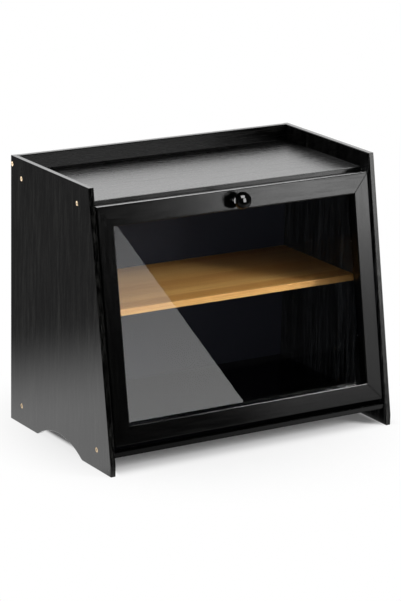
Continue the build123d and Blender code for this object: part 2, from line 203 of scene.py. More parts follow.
# %% [markdown]
# ## Black paint for the back
# The back is a thin fibreboard that nobody looks at, rolled with flat black paint. The roller
# leaves a low stipple about 1.5 mm across and no gloss, so the inside of the box stays deep and
# dark. The paint is a cooler black than the stain.

# %% Black paint
STIPPLE, STIPPLE_DEPTH = 1.5 * MM, 0.06 * MM


def rolled_black_paint():
    """Flat black paint with a roller's stipple."""
    material, tree = new_material("flat_black_paint_rolled")
    place = add(tree, "TexCoord").outputs["Object"]
    stipple = add(tree, "TexNoise", {
        "Vector": place, "Scale": 1 / STIPPLE, "Detail": 2.0,
    }).outputs["Fac"]
    colour = add(tree, "Mix", {
        "Factor": stipple, 6: linear("#1A1B23"), 7: linear("#24252F"),
    }, data_type="RGBA").outputs[2]
    relief = add(tree, "Bump", {
        "Height": stipple, "Strength": 0.3, "Distance": STIPPLE_DEPTH,
    }).outputs[0]
    paint = add(tree, "BsdfPrincipled", {
        "Base Color": colour, "Roughness": 0.62, "Normal": relief, "Specular IOR Level": 0.25,
    })
    add(tree, "OutputMaterial", {"Surface": paint.outputs[0]})
    return material


black_paint = rolled_black_paint()
print("paint:", black_paint.name)

# %% [markdown]
# ## Bamboo
# The shelf is left natural: strips of bamboo glued side by side in two layers and lacquered.
# Each strip has its own tone. The strip's number, from dividing and rounding down, goes to a
# White Noise node, which gives every strip one value of its own, and layers work the same way.
# Layers are counted from the shelf's underside, so that the glue line runs along its middle.
# What the eye sees is a warm tone with fine darker streaks and a low sheen.

# %% Bamboo
STRIP_WIDTH = 19 * MM
BAMBOO_FIBRE = (70 * MM, 0.9 * MM, 0.9 * MM)     # length, width and thickness of a streak
BAMBOO_DEPTH = 0.05 * MM
shelf_low, shelf_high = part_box("shelf")
layer_thick = (shelf_high.z - shelf_low.z) / 2


def laminated_bamboo():
    """Natural bamboo strips along X, in layers."""
    material, tree = new_material("laminated_bamboo_lacquered")
    place = add(tree, "TexCoord").outputs["Object"]
    parts = add(tree, "SeparateXYZ", {0: place}).outputs
    strip = add(tree, "Math", {0: parts["Y"], 1: STRIP_WIDTH}, operation="DIVIDE").outputs[0]
    above = add(tree, "Math", {0: parts["Z"], 1: shelf_low.z}, operation="SUBTRACT").outputs[0]
    layer = add(tree, "Math", {0: above, 1: layer_thick}, operation="DIVIDE").outputs[0]
    strip_number = add(tree, "Math", {0: strip}, operation="FLOOR").outputs[0]
    layer_number = add(tree, "Math", {0: layer}, operation="FLOOR").outputs[0]
    which = add(tree, "CombineXYZ", {0: strip_number, 1: layer_number}).outputs[0]
    own = add(tree, "TexWhiteNoise", {"Vector": which}, noise_dimensions="3D").outputs["Value"]
    fibre_map = add(tree, "Mapping", {
        "Vector": place, "Scale": BAMBOO_FIBRE,
    }, vector_type="TEXTURE")
    fibre = add(tree, "TexNoise", {
        "Vector": fibre_map.outputs[0], "Scale": 1.0, "Detail": 3.0,
    }).outputs["Fac"]
    strip_colour = add(tree, "Mix", {
        "Factor": own, 6: linear("#CB8E4A"), 7: linear("#E2AE6B"),
    }, data_type="RGBA").outputs[2]
    streak = add(tree, "MapRange", {
        "Value": fibre, "From Min": 0.35, "From Max": 0.7, "To Max": 0.4,
    }).outputs[0]
    colour = add(tree, "Mix", {
        "Factor": streak, 6: strip_colour, 7: linear("#A2682E"),
    }, data_type="RGBA").outputs[2]
    relief = add(tree, "Bump", {
        "Height": fibre, "Strength": 0.2, "Distance": BAMBOO_DEPTH,
    }).outputs[0]
    bamboo = add(tree, "BsdfPrincipled", {
        "Base Color": colour, "Roughness": 0.42, "Normal": relief, "IOR": 1.5,
    })
    add(tree, "OutputMaterial", {"Surface": bamboo.outputs[0]})
    return material


bamboo = laminated_bamboo()
print("bamboo strips", round(STRIP_WIDTH / MM), "by", round(layer_thick / MM, 1), "mm")

# %% [markdown]
# ## Clear pane
# The window is 2 mm clear sheet. A Principled shader with full transmission bends and mirrors
# light as glass does. Lamps do not shine through such a shader by themselves, so for shadow
# rays it gives way to a Transparent shader, and the shelf behind it is lit.

# %% Clear pane
def clear_sheet():
    """Clear acrylic or glass sheet that lets lamps through."""
    material, tree = new_material("clear_cast_sheet")
    sheet = add(tree, "BsdfPrincipled", {
        "Base Color": linear("#F7FAF9"), "Roughness": 0.0, "IOR": 1.5, "Transmission Weight": 1.0,
    })
    through = add(tree, "BsdfTransparent", {"Color": linear("#F0F4F2")})
    shadow = add(tree, "LightPath").outputs["Is Shadow Ray"]
    both = add(tree, "MixShader", {0: shadow, 1: sheet.outputs[0], 2: through.outputs[0]})
    add(tree, "OutputMaterial", {"Surface": both.outputs[0]})
    return material


pane = clear_sheet()
print("pane:", pane.name)

# %% [markdown]
# ## Gloss lacquer for the knob
# The knob is turned beech, dipped in thick black gloss lacquer. It is so smooth that it mirrors
# the room, with only the faint swelling that painters call orange peel, about 2 mm across.

# %% Gloss lacquer
ORANGE_PEEL, PEEL_DEPTH = 2 * MM, 0.02 * MM


def gloss_lacquer():
    """Black dipped lacquer with a faint orange peel."""
    material, tree = new_material("black_gloss_lacquer_dipped")
    place = add(tree, "TexCoord").outputs["Object"]
    peel = add(tree, "TexNoise", {"Vector": place, "Scale": 1 / ORANGE_PEEL, "Detail": 1.0})
    relief = add(tree, "Bump", {
        "Height": peel.outputs["Fac"], "Strength": 0.05, "Distance": PEEL_DEPTH,
    }).outputs[0]
    lacquer = add(tree, "BsdfPrincipled", {
        "Base Color": linear("#050505"), "Roughness": 0.06, "Normal": relief, "IOR": 1.55,
    })
    add(tree, "OutputMaterial", {"Surface": lacquer.outputs[0]})
    return material


lacquer = gloss_lacquer()
print("lacquer:", lacquer.name)

# %% [markdown]
# ## Metals and nylon
# The screws in the side panels are brass-plated steel, pressed and tumbled, so they are softly
# bright with fine marks in all directions. Hidden screws and pins are zinc plated, which is
# greyer and duller, and the magnets are nickel plated. All are the same node tree with other
# numbers: a metal has no body colour, so its base colour is the colour of its reflections.
# The bushes are moulded nylon, a waxy black.

# %% Metals and nylon
TUMBLE_MARK = 0.4 * MM
NYLON_SKIN = 0.8 * MM        # one patch of the moulded skin


def plated_metal(name, bright, dull, roughness):
    """Plated steel with fine tumbling marks."""
    material, tree = new_material(name)
    place = add(tree, "TexCoord").outputs["Object"]
    marks = add(tree, "TexNoise", {
        "Vector": place, "Scale": 1 / TUMBLE_MARK, "Detail": 4.0,
    }).outputs["Fac"]
    colour = add(tree, "Mix", {
        "Factor": marks, 6: linear(bright), 7: linear(dull),
    }, data_type="RGBA").outputs[2]
    shine = add(tree, "MapRange", {
        "Value": marks, "To Min": roughness - 0.08, "To Max": roughness + 0.1,
    }).outputs[0]
    metal = add(tree, "BsdfPrincipled", {
        "Base Color": colour, "Roughness": shine, "Metallic": 1.0,
    })
    add(tree, "OutputMaterial", {"Surface": metal.outputs[0]})
    return material


def moulded_nylon():
    """Black moulded nylon with a faintly uneven skin."""
    material, tree = new_material("black_nylon_moulded")
    place = add(tree, "TexCoord").outputs["Object"]
    skin = add(tree, "TexNoise", {"Vector": place, "Scale": 1 / NYLON_SKIN}).outputs["Fac"]
    shine = add(tree, "MapRange", {"Value": skin, "To Min": 0.42, "To Max": 0.56}).outputs[0]
    nylon = add(tree, "BsdfPrincipled", {
        "Base Color": linear("#1B1B1C"), "Roughness": shine, "IOR": 1.53,
    })
    add(tree, "OutputMaterial", {"Surface": nylon.outputs[0]})
    return material


brass = plated_metal("brass_plated_steel", "#EBDAC0", "#A07C48", 0.22)
zinc = plated_metal("zinc_plated_steel", "#C6C9CC", "#8F9499", 0.38)
nickel = plated_metal("nickel_plated_magnet", "#D8D2C6", "#B4AEA2", 0.20)
nylon = moulded_nylon()
print("metals and nylon:", [finish.name for finish in (brass, zinc, nickel, nylon)])

# %% [markdown]
# ## Give each CAD node its finish
# A node keeps its mesh and only gets a new material in its slot. Boards are grouped by the way
# their grain runs: along the box, upright, or along the leaning door.

# %% Finish the CAD nodes
finishes = {
    wood_tray: ("top_board", "back_rail"),
    wood_along: (
        "bottom_board", "door_stop", "door_top_rail", "door_bottom_rail",
        "glazing_bead_low", "glazing_bead_high",
    ),
    black_paint: ("back_panel",),
    wood_upright: ("side_panel_left", "side_panel_right"),
    wood_leaning: (
        "door_stile_left", "door_stile_right", "glazing_bead_left", "glazing_bead_right",
    ),
    bamboo: ("shelf",),
    pane: ("window_pane",),
    lacquer: ("knob",),
    brass: ("side_screws_left", "side_screws_right"),
    zinc: (
        "door_stop_screws", "knob_screw", "glazing_pins", "pivot_pin_left", "pivot_pin_right",
        "shelf_pins_left", "shelf_pins_right",
    ),
    nickel: ("door_magnets", "stop_magnets"),
    nylon: ("pivot_bush_left", "pivot_bush_right"),
}
for material, names in finishes.items():
    for name in names:
        nodes[name].material_slots[0].material = material
plain = sorted(set(nodes) - {name for names in finishes.values() for name in names})
print("nodes with no finish:", plain)

# %% [markdown]
# ## Working in edit mode from code
# An operator acts on whatever is selected, and the loaded nodes start out selected. So every
# piece starts by deselecting all, adds one primitive, and opens it for editing. Faces are then
# picked by a test on their place or normal, which stands in for clicking on them.

# %% Edit mode helpers
ROUND = 48                   # sides of a small round piece


def begin(name):
    """Name the primitive that was just added, and open it for editing."""
    piece = bpy.context.object
    piece.name = name
    bpy.ops.object.mode_set(mode="EDIT")
    return piece


def pick(kind, test):
    """In edit mode, select only the faces or edges (FACE, EDGE) that pass a test."""
    bpy.ops.mesh.select_mode(type=kind)
    bpy.ops.mesh.select_all(action="DESELECT")
    mesh = bmesh.from_edit_mesh(bpy.context.object.data)
    for part in mesh.faces if kind == "FACE" else mesh.edges:
        part.select_set(test(part))
    bmesh.update_edit_mesh(bpy.context.object.data)


def pull(distance, scale=1.0):
    """Extrude the picked faces or edges along Z, and scale what is pulled about the Z axis."""
    bpy.ops.mesh.extrude_region_move(TRANSFORM_OT_translate={"value": (0, 0, distance)})
    bpy.ops.transform.resize(value=(scale, scale, 1), center_override=(0, 0, 0))


def facing_up(face):
    """Whether a face looks up."""
    return face.normal.z > 0.9


def facing_down(face):
    """Whether a face looks down."""
    return face.normal.z < -0.9


print("a round piece has", ROUND, "sides, and turns", 360 / ROUND, "degrees at each")

# %% [markdown]
# ## A cross pressed into a screw head
# Screw heads are cold pressed, and the cross is stamped by a tapered punch. Two crossed bars that
# narrow downwards are cut out of the head with boolean modifiers, which is how the punch works.

# %% Cross recess
PUNCH_TAPER = (0.4, 0.7, 1)  # length and width of a bar's lower end, as shares of its upper end


def stamp_cross(head, span, slot, depth):
    """Cut a tapered cross into the top of a head whose top is at Z 0."""
    for quarter_turn in (0, pi / 2):
        bpy.ops.object.select_all(action="DESELECT")
        bpy.ops.mesh.primitive_cube_add(size=1)
        arm = begin("punch_arm")
        bpy.ops.transform.resize(value=(span, slot, 2 * depth), center_override=(0, 0, 0))
        pick("FACE", facing_down)
        bpy.ops.transform.resize(value=PUNCH_TAPER, center_override=(0, 0, 0))
        bpy.ops.object.mode_set(mode="OBJECT")
        arm.data.transform(Matrix.Rotation(quarter_turn, 4, "Z"))
        cut = head.modifiers.new("cross", "BOOLEAN")
        cut.operation, cut.solver, cut.object = "DIFFERENCE", "EXACT", arm
        bpy.context.view_layer.objects.active = head
        bpy.ops.object.modifier_apply(modifier=cut.name)
        bpy.data.objects.remove(arm)


# %% [markdown]
# ## Countersunk screws
# The screws that show are small wood screws with a cone under a flat head. A cone primitive is
# the underside of the head. Its small end is pulled down into the shank and drawn in to a point,
# and its large end is inset and raised a hair, because a pressed head is never quite flat.
# That slight crown is what makes each screw flash.

# %% Countersunk screw
CROWN = 0.3 * MM             # middle of a head over its rim
RIM_ROUND = 0.08 * MM
SAME = 0.001 * MM            # closer than this is the same place


def countersunk_screw(name, shank_d, head_d, length):
    """A wood screw pointing down, its rim at Z 0."""
    cone, point = (head_d - shank_d) / 2, 1.5 * shank_d     # heights of the two tapered ends
    bpy.ops.object.select_all(action="DESELECT")
    bpy.ops.mesh.primitive_cone_add(
        vertices=ROUND, radius1=shank_d / 2, radius2=head_d / 2, depth=cone,
        location=(0, 0, -cone / 2))
    bpy.ops.object.transform_apply()
    screw = begin(name)
    pick("FACE", facing_down)
    pull(cone + point - length)
    pull(-point, scale=0.12)
    pick("FACE", facing_up)
    bpy.ops.mesh.inset(thickness=head_d * 0.12, depth=CROWN * 0.7)
    bpy.ops.mesh.inset(thickness=head_d * 0.16, depth=CROWN * 0.3)
    pick("EDGE", lambda e: all(abs(v.co.z) < SAME for v in e.verts))
    bpy.ops.mesh.bevel(offset=RIM_ROUND, segments=2, affect="EDGES")
    bpy.ops.object.mode_set(mode="OBJECT")
    stamp_cross(screw, span=head_d * 0.56, slot=head_d * 0.15, depth=head_d * 0.26)
    return screw


def smooth(piece):
    """Smooth shading, kept crisp at edges sharper than 40 degrees."""
    bpy.ops.object.select_all(action="DESELECT")
    piece.select_set(True)
    bpy.context.view_layer.objects.active = piece
    bpy.ops.object.shade_smooth_by_angle(angle=radians(40))


# %% [markdown]
# ## Where the screws go
# Each CAD node of screws is a set of plain cones. Their heads' flat faces say where the screws
# are and how long they are, so one modelled screw is copied to every spot, each copy with its
# own mesh and turned by its own angle, since nobody lines up the crosses.

# %% Set of screws
PANEL_SCREW = (3.5 * MM, 6.4 * MM)       # across the shank and across the head
STOP_SCREW = (3.0 * MM, 5.6 * MM)
HEADS_APART = 10 * MM        # no two heads of a set stand closer
FLUSH = 0.01 * MM            # points this near to a head's face lie on it
FIRST_TURN, NEXT_TURN = 15, 37           # degrees, so that no two crosses line up


def head_spots(node, out):
    """The middle of every head in a node of screws whose heads face the way out."""
    points = [v.co for v in nodes[node].data.vertices]
    face = max(p.dot(out) for p in points)
    rims = [p for p in points if p.dot(out) > face - FLUSH]
    spots = []
    while rims:
        rim = [p for p in rims if (p - rims[0]).length < HEADS_APART]
        corners = [[pick_of(p[i] for p in rim) for i in range(3)] for pick_of in (min, max)]
        spots.append((Vector(corners[0]) + Vector(corners[1])) / 2)
        rims = [p for p in rims if p not in rim]
    return spots


def set_of_screws(name, node, out, shank_d, head_d, body, slot, material):
    """Model one screw and drive a copy of it in at every head of a node."""
    low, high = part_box(node)
    length = max(abs(a * b) for a, b in zip(high - low, out))
    model = countersunk_screw("screw_model", shank_d, head_d, length)
    model.data.materials.clear()
    model.data.materials.append(material)
    smooth(model)
    model.select_set(False)
    stand = out.to_track_quat("Z", "Y").to_matrix().to_4x4()
    copies = []
    for number, spot in enumerate(head_spots(node, out)):
        screw = model.copy()
        screw.data = model.data.copy()
        bpy.context.collection.objects.link(screw)
        turned = Matrix.Rotation(radians(FIRST_TURN + NEXT_TURN * number), 4, "Z")
        screw.data.transform(Matrix.Translation(spot) @ stand @ turned)
        copies.append(screw)
    bpy.data.objects.remove(model)
    for screw in copies:
        screw.select_set(True)
    bpy.context.view_layer.objects.active = copies[0]
    bpy.ops.object.join()
    screws = bpy.context.object
    screws.name = name
    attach(screws, body)
    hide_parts(node)
    print(name, len(copies), "screws", round(length / MM, 1), "mm long")


left, right, down = Vector((-1, 0, 0)), Vector((1, 0, 0)), Vector((0, 0, -1))
for side, out in (("left", left), ("right", right)):
    set_of_screws(
        f"brass_screws_{side}", f"side_screws_{side}", out, *PANEL_SCREW,
        "carcass", "brass_screw", brass)
set_of_screws(
    "stop_strip_screws", "door_stop_screws", down, *STOP_SCREW,
    "carcass", "zinc_steel", zinc)

# %% [markdown]
# ## The knob
# The knob is turned: a ball on a short waisted neck with a thin foot. A UV sphere has its poles on
# Z, like a ball between the centres of a lathe. It is cut off flat where the neck starts, and the
# open ring is pulled out step by step to the waist and the foot. That keeps one clean skin, where
# joining a sphere to a cylinder would leave a seam. The foot is closed and drilled for its screw.

# %% Turned knob
knob_low, knob_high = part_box("knob")
ball_r = (knob_high.x - knob_low.x) / 2
ball_middle = Vector((0, knob_low.y + ball_r, knob_high.z - ball_r))
standoff = ball_middle.dot(door_out) - door_face
NECK_R, WAIST_R, FLARE_R, FOOT_R = 4.25 * MM, 4.0 * MM, 4.45 * MM, 5.5 * MM
FOOT_T, FOOT_ROUND = 1.2 * MM, 0.2 * MM
SCREW_R, SCREW_GRIP = 2.05 * MM, 9 * MM

bpy.ops.object.select_all(action="DESELECT")
bpy.ops.mesh.primitive_uv_sphere_add(segments=64, ring_count=40, radius=ball_r)
knob = begin("turned_knob")
neck_z = -sqrt(ball_r ** 2 - NECK_R ** 2)
bpy.ops.mesh.select_all(action="SELECT")
bpy.ops.mesh.bisect(plane_co=(0, 0, neck_z), plane_no=(0, 0, 1), clear_inner=True)
neck = standoff - FOOT_T + neck_z
profile = ((0.22, WAIST_R), (0.5, WAIST_R), (0.8, FLARE_R), (1.0, FOOT_R))   # shares of it
radius, reached = NECK_R, 0.0
for share, wanted in profile:
    pull(-(share - reached) * neck, scale=wanted / radius)
    radius, reached = wanted, share
pull(-FOOT_T)
bpy.ops.mesh.edge_face_add()
bpy.ops.mesh.bevel(offset=FOOT_ROUND, segments=2, affect="EDGES")
pick("FACE", lambda f: facing_down(f) and f.calc_area() > FOOT_R ** 2)
bpy.ops.mesh.inset(thickness=FOOT_R - FOOT_ROUND - SCREW_R)
pull(SCREW_GRIP)
bpy.ops.mesh.select_all(action="SELECT")
bpy.ops.mesh.remove_doubles(threshold=SAME)
bpy.ops.mesh.normals_make_consistent(inside=False)
bpy.ops.object.mode_set(mode="OBJECT")
door_stand = door_out.to_track_quat("Z", "Y").to_matrix().to_4x4()
knob.data.transform(Matrix.Translation(ball_middle) @ door_stand)
knob.data.materials.append(lacquer)
smooth(knob)
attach(knob, "door")
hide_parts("knob")
print("knob stands", round(standoff / MM, 2), "mm off the door")

# %% [markdown]
# ## The knob's screw
# Behind the top rail sits the pan head that holds the knob. It starts as a short cylinder, the
# head. Its rear is inset in rings that rise to the low dome of a pan head, and its front is inset
# to the shank, which is pulled through the rail into the knob.

# %% Knob screw
PAN_R, PAN_T, SHANK_R = 4.0 * MM, 2.4 * MM, 2.0 * MM
DOME = 0.5 * MM              # middle of the head over its rim
reaches = [v.co.dot(door_out) for v in nodes["knob_screw"].data.vertices]
behind, ahead = min(reaches), max(reaches)

bpy.ops.object.select_all(action="DESELECT")
bpy.ops.mesh.primitive_cylinder_add(
    vertices=ROUND, radius=PAN_R, depth=PAN_T - DOME, location=(0, 0, -(PAN_T + DOME) / 2))
bpy.ops.object.transform_apply()
pan = begin("knob_pan_screw")
pick("FACE", facing_up)
bpy.ops.mesh.inset(thickness=PAN_R * 0.18, depth=DOME * 0.6)
bpy.ops.mesh.inset(thickness=PAN_R * 0.25, depth=DOME * 0.4)
pick("FACE", facing_down)
bpy.ops.mesh.inset(thickness=PAN_R - SHANK_R)
pull(PAN_T - (ahead - behind) + SHANK_R / 4)
pull(-SHANK_R / 4, scale=0.8)
bpy.ops.object.mode_set(mode="OBJECT")
stamp_cross(pan, span=PAN_R * 1.1, slot=PAN_R * 0.3, depth=PAN_R * 0.4)
pan_spot = ball_middle + door_out * (behind - ball_middle.dot(door_out))
rear_stand = (-door_out).to_track_quat("Z", "Y").to_matrix().to_4x4()
pan.data.transform(Matrix.Translation(pan_spot) @ rear_stand)
pan.data.materials.clear()
pan.data.materials.append(zinc)
smooth(pan)
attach(pan, "door")
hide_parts("knob_screw")
print("knob screw", round((ahead - behind) / MM, 1), "mm over all")

# %% [markdown]
# ## What is seen and what is mirrored
# The set is a pale table with white paper hung behind it, in a dark room. The camera sees only
# white round the box, but shiny surfaces mirror the real set, so the table and the room look
# different to different rays. The Light Path node tells rays apart. It also counts the bounces
# so far, because a ray that leaves the box through the pane was mirrored inside first.

# %% What the camera sees straight
def straight_view(tree, path):
    """1 for what the camera sees by itself or through the pane, 0 for what is mirrored."""
    bounces = add(tree, "Math", {
        0: path["Glossy Depth"], 1: path["Diffuse Depth"],
    }, operation="ADD").outputs[0]
    direct = add(tree, "Math", {0: bounces, 1: 0.5}, operation="LESS_THAN").outputs[0]
    through = add(tree, "Math", {
        0: path["Is Transmission Ray"], 1: direct,
    }, operation="MULTIPLY").outputs[0]
    return add(tree, "Math", {
        0: path["Is Camera Ray"], 1: through,
    }, operation="MAXIMUM").outputs[0]


# %% [markdown]
# ## The table
# At the edge of the box's footprint the table turns into plain white for camera rays, and only
# the soft shadow under the box is left, lightened a little with painted white under the front. It
# turns white quickly beside the box, whose side panels reach the table, and slowly under the
# front, where there is a gap. In mirrors it glows with a painted pool of light round the box, lost
# in the dark further off, with painted shade under the box and in front that is deepest at the
# left. Each of these edges is one smooth step along a distance, so one loop makes them all.

# %% Table top
# For the camera, in metres from the middle: where it is in shadow, and where it is nearly white
LEFT, RIGHT, BEFORE = (0.174, 0.184), (0.174, 0.215), (0.096, 0.128)
# Under the front a share of painted white lightens the shadow under the box
HARDLY = 0.12                            # the shadow under the box isn't quite black
FAR, NEARLY = (0.12, 0.30), 0.69         # where nearly white, this share, turns into white
# In mirrors, where the painted pool of light and painted shade lie, in metres from the middle
FOOTPRINT = (0.125, 0.150)               # in front or behind: dark under the box, and lit
POOL_BEHIND = (0.09, 0.45)               # fully lit, and dark
POOL_BEFORE = (-0.55, -0.30)             # dark, and fully lit
POOL_BESIDE = (0.40, 0.90)               # fully lit, and dark
SHADE_BEFORE = (-0.16, -0.08)            # in shade, and fully lit
SHADE_RIGHT, SHADE_LIT = (-0.12, 0.24), 0.27     # the shade clears to this share on the right
TABLE_GLOW, DARK_TABLE = 1.12, 0.126     # brightness where it is lit, and where it is dark


def pale_table():
    """Matt white table top: white for the camera, a painted pool of light in mirrors."""
    material, tree = new_material("white_laminate_table")
    path = add(tree, "LightPath").outputs
    place = add(tree, "TexCoord").outputs["Object"]
    x, y, _ = add(tree, "SeparateXYZ", {0: place}).outputs
    leftward = add(tree, "Math", {0: x, 1: -1.0}, operation="MULTIPLY").outputs[0]
    size = add(tree, "VectorMath", {0: place}, operation="ABSOLUTE").outputs[0]
    wide, deep, _ = add(tree, "SeparateXYZ", {0: size}).outputs
    reach = add(tree, "VectorMath", {0: place}, operation="LENGTH").outputs["Value"]
    (at_left, at_right, before, off_footprint, whiter,
     pool_behind, pool_before, pool_beside, clear_right, clear_back) = [
        add(tree, "MapRange", {
            "Value": value, "From Min": start, "From Max": end, "To Min": low, "To Max": high,
        }, interpolation_type="SMOOTHSTEP").outputs[0]
        for value, start, end, low, high in (
            (leftward, *LEFT, 0.0, 1.0),
            (x, *RIGHT, 0.0, 1.0),
            (deep, *BEFORE, HARDLY, 1.0),
            (deep, *FOOTPRINT, 0.0, 1.0),
            (reach, *FAR, NEARLY, 1.0),
            (y, *POOL_BEHIND, 1.0, 0.0),
            (y, *POOL_BEFORE, 0.0, 1.0),
            (wide, *POOL_BESIDE, 1.0, 0.0),
            (x, *SHADE_RIGHT, 0.0, SHADE_LIT),
            (y, *SHADE_BEFORE, 0.0, 1.0),
        )
    ]
    beside = add(tree, "Math", {0: at_left, 1: at_right}, operation="MAXIMUM").outputs[0]
    outside = add(tree, "Math", {0: beside, 1: off_footprint}, operation="MAXIMUM").outputs[0]
    whitened = add(tree, "Math", {0: beside, 1: before}, operation="MAXIMUM").outputs[0]
    for share in (whiter, straight_view(tree, path)):
        whitened = add(tree, "Math", {0: whitened, 1: share}, operation="MULTIPLY").outputs[0]
    lit = add(tree, "Math", {0: clear_right, 1: clear_back}, operation="MAXIMUM").outputs[0]
    for edge in (pool_behind, pool_beside):
        lit = add(tree, "Math", {0: lit, 1: edge}, operation="MULTIPLY").outputs[0]
    # Painted pool of light for mirrors, with painted shade in front of the box and under it
    glow = add(tree, "Mix", {
        "Factor": lit, 2: DARK_TABLE, 3: TABLE_GLOW,
    }, data_type="FLOAT").outputs[0]
    for edge in (pool_before, outside):
        glow = add(tree, "Math", {0: glow, 1: edge}, operation="MULTIPLY").outputs[0]
    top = add(tree, "BsdfDiffuse", {"Color": linear("#FAFAFA")})
    mirrored = add(tree, "Emission", {"Strength": glow})
    white = add(tree, "Emission", {"Strength": 1.0})
    shown = add(tree, "MixShader", {0: whitened, 1: top.outputs[0], 2: white.outputs[0]})
    in_mirror = add(tree, "Math", {
        0: path["Glossy Depth"], 1: path["Diffuse Depth"],
    }, operation="GREATER_THAN").outputs[0]
    shown = add(tree, "MixShader", {
        0: in_mirror, 1: shown.outputs[0], 2: mirrored.outputs[0],
    })
    add(tree, "OutputMaterial", {"Surface": shown.outputs[0]})
    return material


bpy.ops.object.select_all(action="DESELECT")
bpy.ops.mesh.primitive_plane_add(size=30, location=(0, 0, -0.1 * MM))   # just under the feet
table = bpy.context.object
table.name = "table_top"
table.data.materials.append(pale_table())
print("table", round(table.dimensions.x), "m wide, glows", TABLE_GLOW, "in mirrors")

# %% [markdown]
# ## The dark room
# The world is white to the camera. In mirrors it is a dark room, and matt surfaces get a little
# even light from it. What shines in mirrors is hung in the room piece by piece, further down.

# %% World
DARK_ROOM = 0.01             # what mirrors show of it
ROOM_LIGHT = 0.45            # even light that all matt surfaces get

world = bpy.data.worlds.new("white_outside_dark_in_mirrors")
bpy.context.scene.world = world
world.use_nodes = True
sky = world.node_tree
sky.nodes.clear()
path = add(sky, "LightPath").outputs
seen = add(sky, "Mix", {
    "Factor": straight_view(sky, path), 2: DARK_ROOM, 3: 1.0,
}, data_type="FLOAT").outputs[0]
matt = add(sky, "Math", {0: path["Diffuse Depth"], 1: 0.5}, operation="GREATER_THAN").outputs[0]
strength = add(sky, "Mix", {"Factor": matt, 2: seen, 3: ROOM_LIGHT}, data_type="FLOAT").outputs[0]
room = add(sky, "Background", {"Color": linear("#FFFFFF"), "Strength": strength})
add(sky, "OutputWorld", {"Surface": room.outputs[0]})
print("room: white to the camera,", DARK_ROOM, "in mirrors,", ROOM_LIGHT, "on matt surfaces")

# %% [markdown]
# ## What the door and the knob mirror
# The door is a leaning mirror: at each pixel of the picture it shows one spot of the room.
# Following the camera's ray to the door and back out again finds that spot, so a lamp or a
# card can be put exactly where its mirror image should be. The knob's ball is a round mirror,
# and the same is done with the line from its middle to the point that the ray hits.

# %% Follow a pixel by way of the door or the ball
def pixel_ray(u, v):
    """The direction in which the camera sees a pixel."""
    across, up = u - PICTURE[0] / 2, PICTURE[1] / 2 - v
    return (camera.matrix_world.to_3x3() @ Vector((across, up, -LENS_PIXELS))).normalized()


def mirrored_spot(pixel, reach, plane):
    """The spot of the room, reach metres off, that a plane along the door mirrors at a pixel."""
    ray, start = pixel_ray(*pixel), camera.matrix_world.translation
    hit = start + ray * (plane - start.dot(door_out)) / ray.dot(door_out)
    return hit + (ray - 2 * ray.dot(door_out) * door_out) * reach


def spot_in_ball(pixel, reach):
    """The spot of the room, reach metres off, that the knob's ball mirrors at a pixel."""
    ray, start = pixel_ray(*pixel), camera.matrix_world.translation
    to_middle = ball_middle - start
    along_ray = to_middle.dot(ray)
    miss = sqrt(to_middle.length_squared - along_ray ** 2)
    hit = start + ray * (along_ray - sqrt(ball_r ** 2 - miss ** 2))
    out = (hit - ball_middle).normalized()
    return hit + (ray - 2 * ray.dot(out) * out) * reach


mid_pane = mirrored_spot((240, 330), 1.0, door_face)
print("the middle of the pane mirrors the room at", [round(c, 2) for c in mid_pane])

# %% [markdown]
# ## Flags
# Photographers choose what lights an object and what it mirrors separately, with flags and
# screens. Blender's kind of flag is light linking: a light keeps one list of the pieces that it
# reaches, and another of the pieces that can stand in its way.

# %% Flags
def listed(name, pieces, state):
    """A list of pieces for a light: only these (INCLUDE), or all pieces but these (EXCLUDE)."""
    group = bpy.data.collections.new(name)
    for piece in pieces:
        group.objects.link(piece)
    for member in group.collection_objects:
        member.light_linking.link_state = state
    return group


def flag(light, pieces, state):
    """Choose the pieces that a light reaches."""
    light.light_linking.receiver_collection = listed("lit_by_" + light.name, pieces, state)


def unshade(light, pieces, state):
    """Choose the pieces that can stand in a light's way."""
    light.light_linking.blocker_collection = listed("shades_" + light.name, pieces, state)


# %% [markdown]
# ## Softboxes
# Each lamp is a softbox: a square panel of even light that faces the box. Its brightness is
# what a mirror would show of it: a panel of area A and radiance L sends out L times A times pi
# watts. Each lamp also says whether it lights matt surfaces, shows in mirrors, or both.

# %% Softboxes
AIM = Vector((0, 0, 0.16))   # the middle of the box, which all lamps face


def softbox(name, centre, width, height, radiance, lights=True, shows=True):
    """A square lamp that faces the box."""
    away = (centre - AIM).normalized()
    bpy.ops.object.light_add(type="AREA", location=centre)
    lamp = bpy.context.object
    lamp.name = name
    lamp.rotation_euler = away.to_track_quat("Z", "Y").to_euler()
    lamp.data.shape = "RECTANGLE"
    lamp.data.size, lamp.data.size_y = width, height
    lamp.data.energy = radiance * width * height * pi
    lamp.visible_camera = False
    lamp.visible_diffuse = lights
    lamp.visible_glossy = shows
    return lamp


def round_the_box(azimuth, elevation, distance):
    """A place round the box, in degrees; azimuth 0 is in front of it, 90 is to its right."""
    turned, raised = radians(azimuth), radians(elevation)
    heading = Vector((sin(turned) * cos(raised), -cos(turned) * cos(raised), sin(raised)))
    return AIM + heading * distance


print("a lamp 2 m in front of the box stands at", [round(c, 2) for c in round_the_box(0, 0, 2)])

# %% [markdown]
# ## Lamps for the boards and the door
# One key lamp lights what is matt, and the others show only in mirrors, each in the pieces that
# it is for. The door mirrors two windows, whose lower left corners are set by the pixels where
# they start to show. The overhead lamp shows in the tray, the top rail and the side panels, and
# lit paper on the left shows in the right panel. The rail behind the tray mirrors the tray, and
# in it the fill lamp that stands in front.

# %% Lamps for the boards and the door
def window_lamp(name, pixel, reach, width, height, radiance):
    """A softbox whose lower left corner the door mirrors at a pixel."""
    corner = mirrored_spot(pixel, reach, door_face)
    away = (corner - AIM).normalized()
    rightward = Vector((-away.y, away.x, 0)).normalized()
    upward = rightward.cross(-away)
    centre = corner + rightward * width / 2 + upward * height / 2
    print(name, "at", [round(c, 2) for c in centre])
    return softbox(name, centre, width, height, radiance, lights=False)


